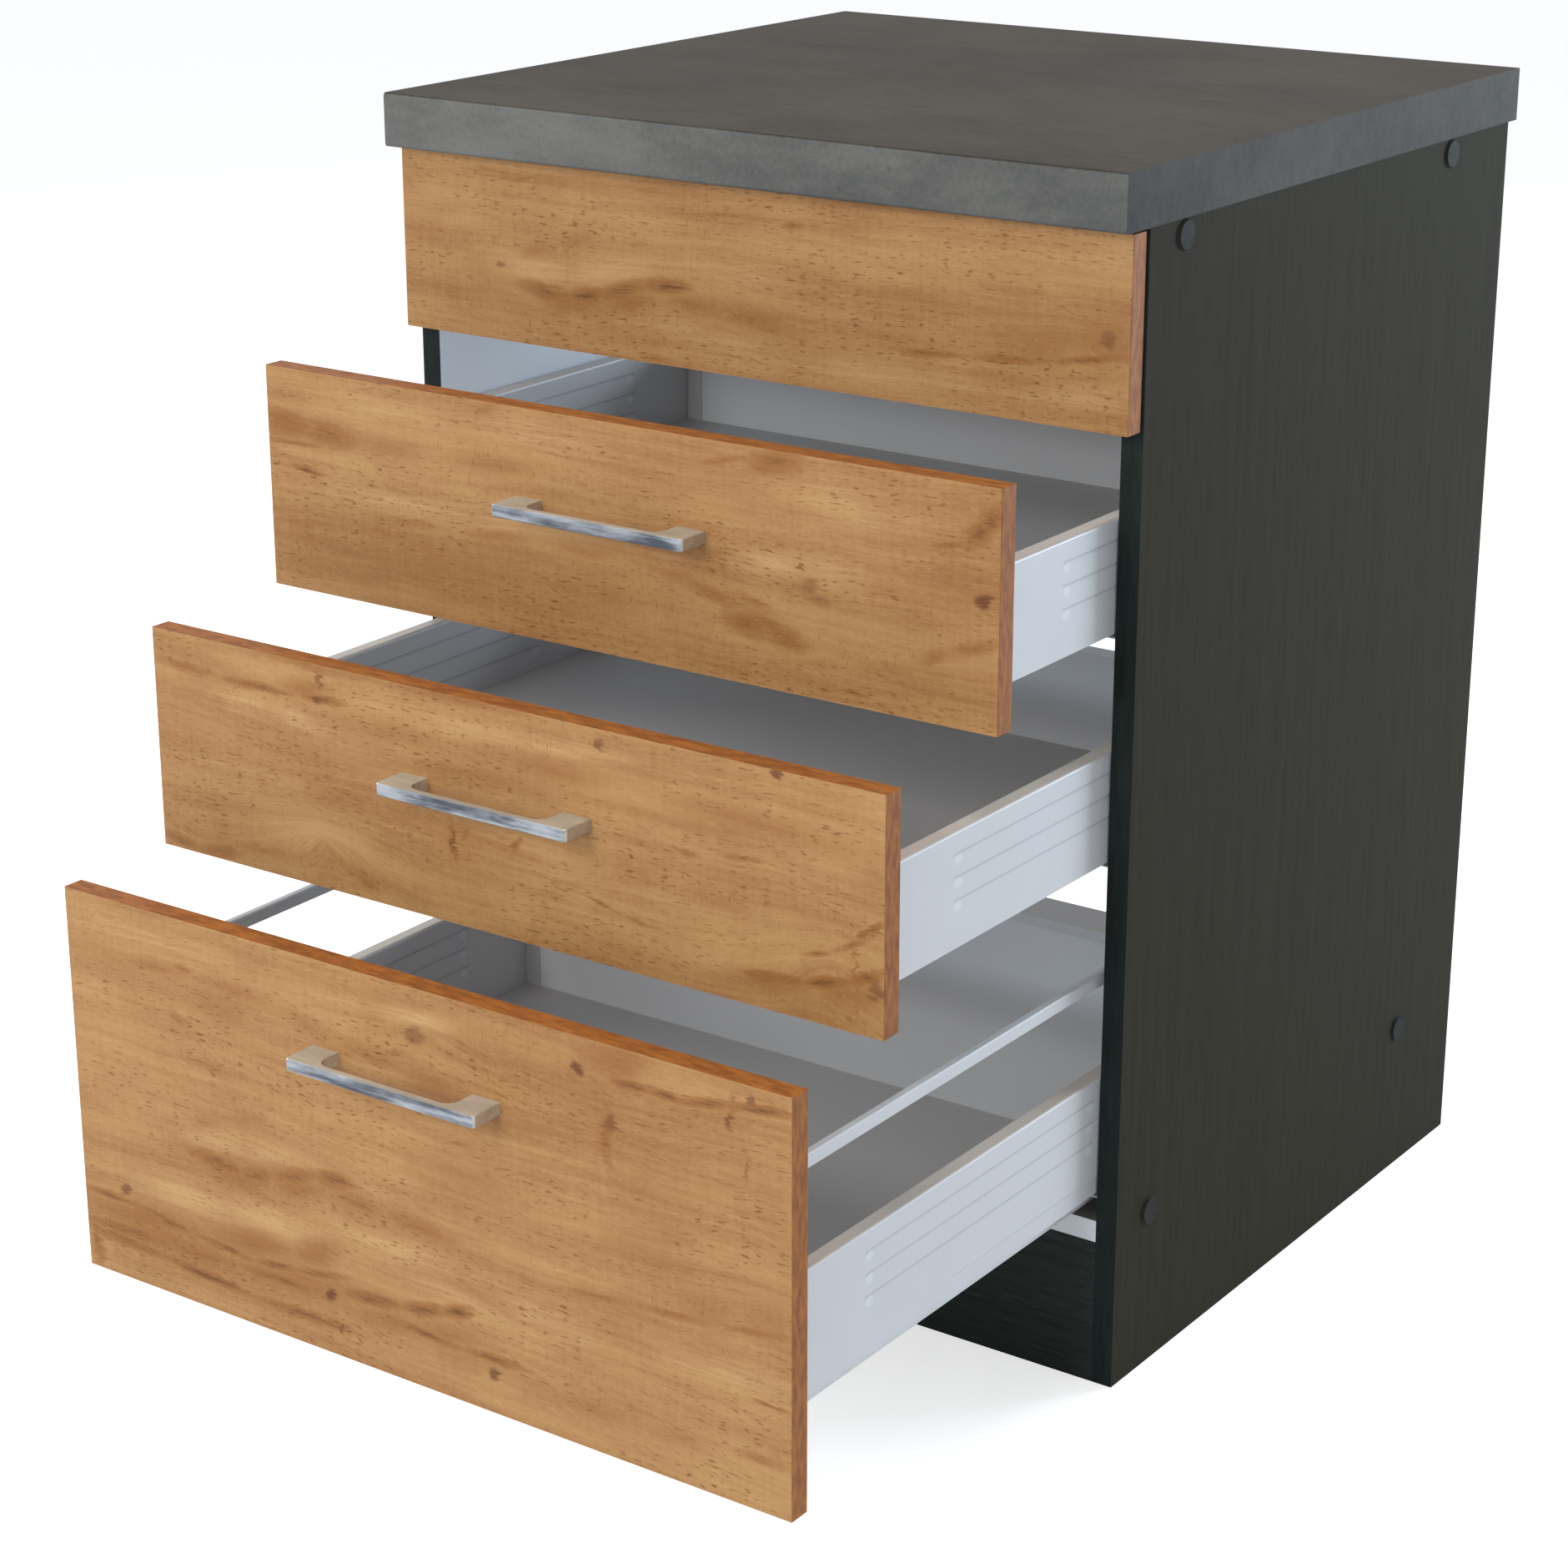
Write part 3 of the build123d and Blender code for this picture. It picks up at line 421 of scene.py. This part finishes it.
def concrete():
    """Dark concrete-look worktop laminate; the edge strips are greyer than the top, and the side
    edges are drawn darker than the front edge as painted shade.
    """
    f = Finish("worktop_laminate")
    clouds = f.noise((5.0, 7.0, 9.0), detail=5.0, roughness=0.62)
    patches = f.noise((17.0, 22.0, 30.0), detail=5.0, roughness=0.65, shift=4.0)
    grains = f.noise((330.0, 330.0, 330.0), detail=2.0, roughness=0.6, shift=8.0)
    pits = f.step(f.noise((120.0, 150.0, 150.0), roughness=0.6, shift=12.0), 0.64, 0.74)
    trowel = f.noise((14.0, 120.0, 60.0), roughness=0.6, shift=16.0)
    tone = f.total(((clouds, 0.42), (patches, 0.32), (grains, 0.16), (trowel, 0.16)))
    tone = f.step(tone, 0.36, 0.70)
    nx, _, nz = f.split(f.normal)
    front_edge = f.mix(tone, *WORKTOP_FRONT_EDGE)
    # the side edges' darker colour is painted shade, not a different laminate
    side_edge_painted_shade = f.mix(tone, *WORKTOP_SIDE_EDGE_PAINTED_SHADE)
    edge = f.mix(f.step(f.math("ABSOLUTE", nx), 0.60, 0.90), front_edge, side_edge_painted_shade)
    colour = f.mix(f.step(nz, 0.40, 0.90), edge, f.mix(tone, *WORKTOP_TOP))
    colour = f.mix(f.math("MULTIPLY", pits, 0.35), colour, WORKTOP_PIT)
    roughness = f.math("MULTIPLY_ADD", patches, 0.20, 0.46)
    relief = f.total(((grains, 0.6), (patches, 0.4), (pits, -0.8)))
    return f.surface(colour, roughness, relief, depth=0.0002, strength=0.35,
                     Specular_IOR_Level=WORKTOP_SPECULAR)


def straight_grain(finish, axis):
    """Fine straight grain along one axis: the tone, 0 to 1, and its finest threads."""
    fine = [1100.0, 1100.0, 1100.0]
    wide = [160.0, 160.0, 160.0]
    fine["XYZ".index(axis)] = 30.0
    wide["XYZ".index(axis)] = 5.0
    threads = finish.noise(fine, roughness=0.6)
    bands = finish.noise(wide, roughness=0.6, shift=9.0)
    tone = finish.total(((threads, 0.70), (bands, 0.34)))
    return finish.step(tone, 0.30, 0.74), threads


def melamine(finish, colour, threads):
    """Ends a dark grained board."""
    roughness = finish.math("MULTIPLY_ADD", threads, 0.2, 0.48)
    return finish.surface(colour, roughness, threads, depth=0.00010, strength=0.4,
                          Specular_IOR_Level=ANTHRACITE_SPECULAR)


def side_board():
    """Side panels: anthracite with upright grain outside and on the edges, white inside."""
    f = Finish("anthracite_board")
    tone, threads = straight_grain(f, "Z")
    x, _, _ = f.split(f.place)
    nx, _, _ = f.split(f.normal)
    on_face = f.step(f.math("ABSOLUTE", nx), 0.5, 0.8)
    colour = f.mix(on_face, f.mix(tone, *ANTHRACITE_EDGE), f.mix(tone, *ANTHRACITE_FACE))
    # an inside face looks towards the middle, so its normal and its place differ in sign
    inside = f.math("LESS_THAN", f.math("MULTIPLY", nx, x), -0.1)
    return melamine(f, f.mix(inside, colour, PANEL_INSIDE), threads)


def plinth_board():
    """The plinth: near black with level grain."""
    f = Finish("plinth_board")
    tone, threads = straight_grain(f, "X")
    return melamine(f, f.mix(tone, *PLINTH_FACE), threads)


def plain_board(name, tint):
    """Plain melamine with a faint pearl."""
    f = Finish(name)
    wear = f.noise((6.0, 6.0, 6.0), shift=5.0)
    colour = f.worn(tint, wear, share=0.35, darkest=0.93)
    roughness = f.math("MULTIPLY_ADD", wear, 0.12, 0.36)
    return f.surface(colour, roughness, f.noise(PEARL, detail=2.0, roughness=0.6),
                     depth=0.00006, strength=0.4)


def bottom_board():
    """The bottom panel: white on its edges and underside; its top face is drawn warm grey as
    painted shade.
    """
    f = Finish("bottom_board")
    wear = f.noise((6.0, 6.0, 6.0), shift=5.0)
    # painted shade: up-facing faces of the white board are drawn warm grey
    up = f.step(f.split(f.normal)[2], 0.40, 0.90)
    colour = f.mix(up, BOTTOM_EDGE, BOTTOM_TOP_PAINTED_SHADE)
    colour = f.mix(f.step(wear, 0.3, 0.7, 0.0, 0.12), colour, BOTTOM_WEAR)
    roughness = f.math("MULTIPLY_ADD", wear, 0.12, 0.40)
    return f.surface(colour, roughness, f.noise(PEARL, detail=2.0, roughness=0.6),
                     depth=0.00006, strength=0.4)


# ---- metal and plastic ---------------------------------------------------
WHITE_STEEL = srgb(208, 209, 212)
RAIL_STEEL = srgb(208, 210, 214)
# painted warm light: the beige that the up-facing rims of the white drawer sides are drawn with
RIM_PAINTED_WARM_LIGHT = srgb(216, 194, 168)
# painted shade: the colour drawn under each band's upper edge
BAND_SHADE_LINE = srgb(150, 154, 160)
# painted highlight: the colour drawn near each band's ends
BAND_END_HIGHLIGHT = srgb(236, 240, 246)
# painted reflections: cloudy blue grey on the bar's front, warm grey on its other faces
HANDLE_FRONT_PAINTED_REFLECTION = (srgb(62, 68, 78), srgb(152, 158, 166))
HANDLE_REST_PAINTED_REFLECTION = (srgb(176, 170, 156), srgb(204, 199, 186))
ZINC = srgb(186, 190, 194)
NYLON = srgb(222, 221, 214)
CAP = srgb(36, 38, 35)
CLIP = srgb(196, 199, 204)
BRUSH_LINES = (40.0, 2600.0, 2600.0)  # waves per metre: long along X, fine across

# The pressed bands of each drawer's sides: the top band's upper edge and the bands' two ends.
# These and the sizes below are in metres.
SIDE_BANDS = {
    "upper": (0.6090, -0.0673, 0.2147),
    "middle": (0.4505, -0.1900, 0.0920),
    "pan": (0.2173, -0.2855, -0.0035),
}
BANDS = 3
BAND_PITCH = 0.0155
BAND_FADE = 0.004  # over which a band's shade fades in at its ends
# where each band end's painted highlight sits, and its size
END_HIGHLIGHT_INSET = 0.007  # from a band's end
END_HIGHLIGHT_DROP = 0.005  # below a band's upper edge
END_HIGHLIGHT_HALF_LENGTH = 0.0055
END_HIGHLIGHT_HALF_HEIGHT = 0.0042


def band_shade(f, colour, top, start, end):
    """Painted shade under each pressed band's upper edge and a painted highlight near each of its
    ends.
    """
    _, y, z = f.split(f.place)
    inside = f.math("MULTIPLY", f.step(y, start, start + BAND_FADE),
                    f.step(y, end - BAND_FADE, end, 1.0, 0.0))
    lines, end_highlights = 0.0, 0.0
    for row in range(BANDS):
        edge = top - row * BAND_PITCH
        below = f.math("SUBTRACT", edge, z)
        line = f.math("MULTIPLY", f.step(below, -0.0002, 0.0002),
                      f.step(below, 0.0006, 0.0026, 1.0, 0.0))
        lines = f.math("MAXIMUM", line, lines)
        for tip in (start + END_HIGHLIGHT_INSET, end - END_HIGHLIGHT_INSET):
            far_y = f.math("DIVIDE", f.math("SUBTRACT", y, tip), END_HIGHLIGHT_HALF_LENGTH)
            far_z = f.math("DIVIDE", f.math("SUBTRACT", z, edge - END_HIGHLIGHT_DROP), END_HIGHLIGHT_HALF_HEIGHT)
            far = f.math("MULTIPLY_ADD", far_y, far_y, f.math("MULTIPLY", far_z, far_z))
            end_highlights = f.math("MAXIMUM", f.step(far, 0.2, 1.0, 1.0, 0.0), end_highlights)
    # painted shade lines under the band edges, then painted highlights at the band ends
    shade = f.math("MULTIPLY", f.math("MULTIPLY", lines, inside), 0.55)
    colour = f.mix(shade, colour, BAND_SHADE_LINE)
    return f.mix(f.math("MULTIPLY", end_highlights, 0.35), colour, BAND_END_HIGHLIGHT)


def painted_steel(name, tint, roughness, bands=None):
    """Powder coat with a fine orange peel; a drawer side also has painted shade under its bands,
    painted highlights near their ends and painted warm light on its rim.
    """
    f = Finish(name)
    peel = f.noise((650.0, 650.0, 650.0), detail=2.0, roughness=0.5)
    wear = f.noise((9.0, 9.0, 9.0), shift=3.0)
    colour = f.worn(tint, wear, share=0.4, darkest=0.94)
    if bands:
        colour = band_shade(f, colour, *bands)
        # painted warm light: up-facing faces, the rims, are tinted beige
        rim = f.step(f.split(f.normal)[2], 0.5, 0.9, 0.0, 0.5)
        colour = f.mix(rim, colour, RIM_PAINTED_WARM_LIGHT)
    roughness = f.math("MULTIPLY_ADD", wear, 0.10, roughness)
    return f.surface(colour, roughness, peel, depth=0.00006, strength=0.35)


def handle_metal():
    """Satin nickel with fine brush lines; the cloudy blue grey on the bar's front and the warm
    grey elsewhere are painted reflections.
    """
    f = Finish("handle_metal")
    lines = f.noise(BRUSH_LINES, roughness=0.6)
    clouds = f.noise((22.0, 60.0, 90.0), roughness=0.6, shift=6.0)
    threads = f.noise((16.0, 300.0, 420.0), roughness=0.6, shift=14.0)
    # the cloudy tone drawn here is a painted reflection
    tone = f.total(((clouds, 0.65), (threads, 0.35)))
    front = f.mix(f.step(tone, 0.36, 0.62), *HANDLE_FRONT_PAINTED_REFLECTION)
    rest = f.mix(f.step(tone, 0.30, 0.70), *HANDLE_REST_PAINTED_REFLECTION)
    forward = f.step(f.split(f.normal)[1], -0.85, -0.45, 1.0, 0.0)
    colour = f.mix(forward, rest, front)
    smoother = f.math("MULTIPLY_ADD", forward, -0.14, 0.42)
    roughness = f.math("MULTIPLY_ADD", lines, 0.16, smoother)
    return f.surface(colour, roughness, lines, depth=0.00003, strength=0.5, metallic=0.55)


def brushed_zinc():
    """Zinc plate with fine lines along X and faint stains."""
    f = Finish("zinc_steel")
    lines = f.noise(BRUSH_LINES, roughness=0.6)
    stains = f.noise((40.0, 40.0, 40.0), shift=6.0)
    colour = f.worn(ZINC, stains, share=0.4, darkest=0.86)
    roughness = f.math("MULTIPLY_ADD", lines, 0.16, 0.30)
    return f.surface(colour, roughness, lines, depth=0.00003, strength=0.5, metallic=1.0)


def plastic(name, tint, roughness, **fixed):
    """Moulded plastic with a faint grain."""
    f = Finish(name)
    grain = f.noise((900.0, 900.0, 900.0), detail=2.0, roughness=0.6)
    wear = f.noise((60.0, 60.0, 60.0), detail=2.0, shift=2.0)
    colour = f.worn(tint, wear, share=0.4, darkest=0.85)
    roughness = f.math("MULTIPLY_ADD", wear, 0.15, roughness)
    return f.surface(colour, roughness, grain, depth=0.00008, strength=0.4, **fixed)


# ---- which node has which finish -----------------------------------------
by_slot = {
    "worktop_laminate": concrete(),
    "anthracite_board": side_board(),
    "white_board": plain_board("white_board", WHITE_BOARD),
    "grey_board": plain_board("grey_board", GREY_BOARD),
    "white_steel": painted_steel("white_steel", WHITE_STEEL, 0.30),
    "rail_steel": painted_steel("rail_steel", RAIL_STEEL, 0.34),
    "handle_metal": handle_metal(),
    "zinc_steel": brushed_zinc(),
    "nylon": plastic("nylon", NYLON, 0.40),
    "cap_plastic": plastic("cap_plastic", CAP, 0.55, Specular_IOR_Level=0.10),
    "clip_plastic": plastic("clip_plastic", CLIP, 0.40),
}
by_node = {"plinth_board": plinth_board(), "bottom_panel": bottom_board()}
for node_name, (finish_name, low, high) in FRONTS.items():
    by_node[node_name] = oak(finish_name, low, high)
for drawer, bands in SIDE_BANDS.items():
    steel = painted_steel(f"{drawer}_side_steel", WHITE_STEEL, 0.30, bands)
    for hand in ("left", "right"):
        by_node[f"{drawer}_drawer_side_{hand}"] = steel
slots = {piece["node"]: piece["material_slot"] for piece in frame["record"]["subparts"]}
for node_name, node in frame["nodes"].items():
    node.data.materials.clear()
    node.data.materials.append(by_node.get(node_name) or by_slot[slots[node_name]])


# ---- floor, background, light and camera ---------------------------------
WHITE = (1.0, 1.0, 1.0, 1.0)
WORLD_TINT = (0.92, 0.96, 1.0, 1.0)
WORLD_LIGHT = 0.42
FLOOR_TINT = (0.86, 0.86, 0.86, 1.0)
FLOOR_LIFT = 0.62  # what the floor shines with where it is seen directly
FLOOR_REACH = 30.0  # metres from the middle to each side
CAMERA_PLACE = (1.3622, -1.9052, 1.2027)
CAMERA_YAW = 35.138
CAMERA_PITCH = 19.23
CAMERA_LENS = 80.46
# Softboxes: name, place, the point it looks at, side in metres, watts and tint. With the world
# they light the front and the top at a plain level.
SOFTBOXES = (
    ("front_softbox", (-0.3, -2.9, 1.9), (0.0, -0.1, 0.4), 1.2, 48.0, (1.0, 0.96, 0.90)),
    ("low_softbox", (0.3, -3.0, 0.95), (0.0, 0.0, 0.35), 0.4, 26.0, (0.80, 0.91, 1.0)),
    ("top_softbox", (0.2, -0.7, 3.0), (0.0, -0.1, 0.4), 1.2, 12.0, (1.0, 0.93, 0.84)),
    ("rear_softbox", (1.7, 2.6, 1.1), (-0.1, 0.2, 0.4), 1.2, 60.0, (0.72, 0.86, 1.0)),
    ("left_softbox", (-3.0, -0.5, 1.5), (0.0, -0.1, 0.3), 1.6, 40.0, (0.92, 0.96, 1.0)),
)


def seen_directly(tree):
    """1 for camera, mirror and see-through rays, 0 for the rays that light the object."""
    rays = tree.nodes.new("ShaderNodeLightPath")
    result = rays.outputs["Is Camera Ray"]
    for name in ("Is Glossy Ray", "Is Transmission Ray"):
        inputs = {0: result, 1: rays.outputs[name]}
        result = add_node(tree, "ShaderNodeMath", inputs, operation="MAXIMUM").outputs[0]
    return result


def set_world():
    """Even, slightly cool studio light; seen directly, the background is plain white."""
    world = bpy.data.worlds.new("studio")
    bpy.context.scene.world = world
    tree = empty_tree(world)
    light = add_node(tree, "ShaderNodeBackground", {0: WORLD_TINT, 1: WORLD_LIGHT})
    white = add_node(tree, "ShaderNodeBackground", {0: WHITE, 1: 1.0})
    mixed = add_node(tree, "ShaderNodeMixShader", {
        0: seen_directly(tree), 1: light.outputs[0], 2: white.outputs[0],
    })
    add_node(tree, "ShaderNodeOutputWorld", {0: mixed.outputs[0]})


def add_floor():
    """A plain pale floor that keeps the object's shadow."""
    mesh = bpy.data.meshes.new("floor")
    corners = [(-FLOOR_REACH, -FLOOR_REACH, 0), (FLOOR_REACH, -FLOOR_REACH, 0),
               (FLOOR_REACH, FLOOR_REACH, 0), (-FLOOR_REACH, FLOOR_REACH, 0)]
    mesh.from_pydata(corners, [], [(0, 1, 2, 3)])
    floor = bpy.data.objects.new("floor", mesh)
    bpy.context.scene.collection.objects.link(floor)
    material = bpy.data.materials.new("floor")
    tree = empty_tree(material)
    matt = add_node(tree, "ShaderNodeBsdfDiffuse", {0: FLOOR_TINT})
    lift = add_node(tree, "ShaderNodeMath", {0: seen_directly(tree), 1: FLOOR_LIFT},
                    operation="MULTIPLY")
    glow = add_node(tree, "ShaderNodeEmission", {0: WHITE, 1: lift.outputs[0]})
    both = add_node(tree, "ShaderNodeAddShader", {0: matt.outputs[0], 1: glow.outputs[0]})
    add_node(tree, "ShaderNodeOutputMaterial", {0: both.outputs[0]})
    mesh.materials.append(material)


def add_softbox(name, place, target, size, power, tint):
    """A square studio softbox that looks at a point."""
    lamp = bpy.data.lights.new(name, "AREA")
    lamp.shape = "SQUARE"
    lamp.size = size
    lamp.energy = power
    lamp.color = tint
    holder = bpy.data.objects.new(name, lamp)
    bpy.context.scene.collection.objects.link(holder)
    holder.location = place
    aim = Vector(target) - Vector(place)
    holder.rotation_mode = "QUATERNION"
    holder.rotation_quaternion = aim.to_track_quat("-Z", "Y")


def add_camera():
    """A plain camera at the photograph's viewing angle, with no shift."""
    camera_data = bpy.data.cameras.new("camera")
    camera_data.sensor_width = 36.0
    camera_data.lens = CAMERA_LENS
    camera_data.clip_start = 0.05
    camera_data.clip_end = 200.0
    camera = bpy.data.objects.new("camera", camera_data)
    bpy.context.scene.collection.objects.link(camera)
    camera.location = CAMERA_PLACE
    camera.rotation_euler = (math.radians(90 - CAMERA_PITCH), 0.0, math.radians(CAMERA_YAW))
    bpy.context.scene.camera = camera


set_world()
add_floor()
for softbox in SOFTBOXES:
    add_softbox(*softbox)
add_camera()
bpy.context.scene.view_settings.view_transform = "Standard"
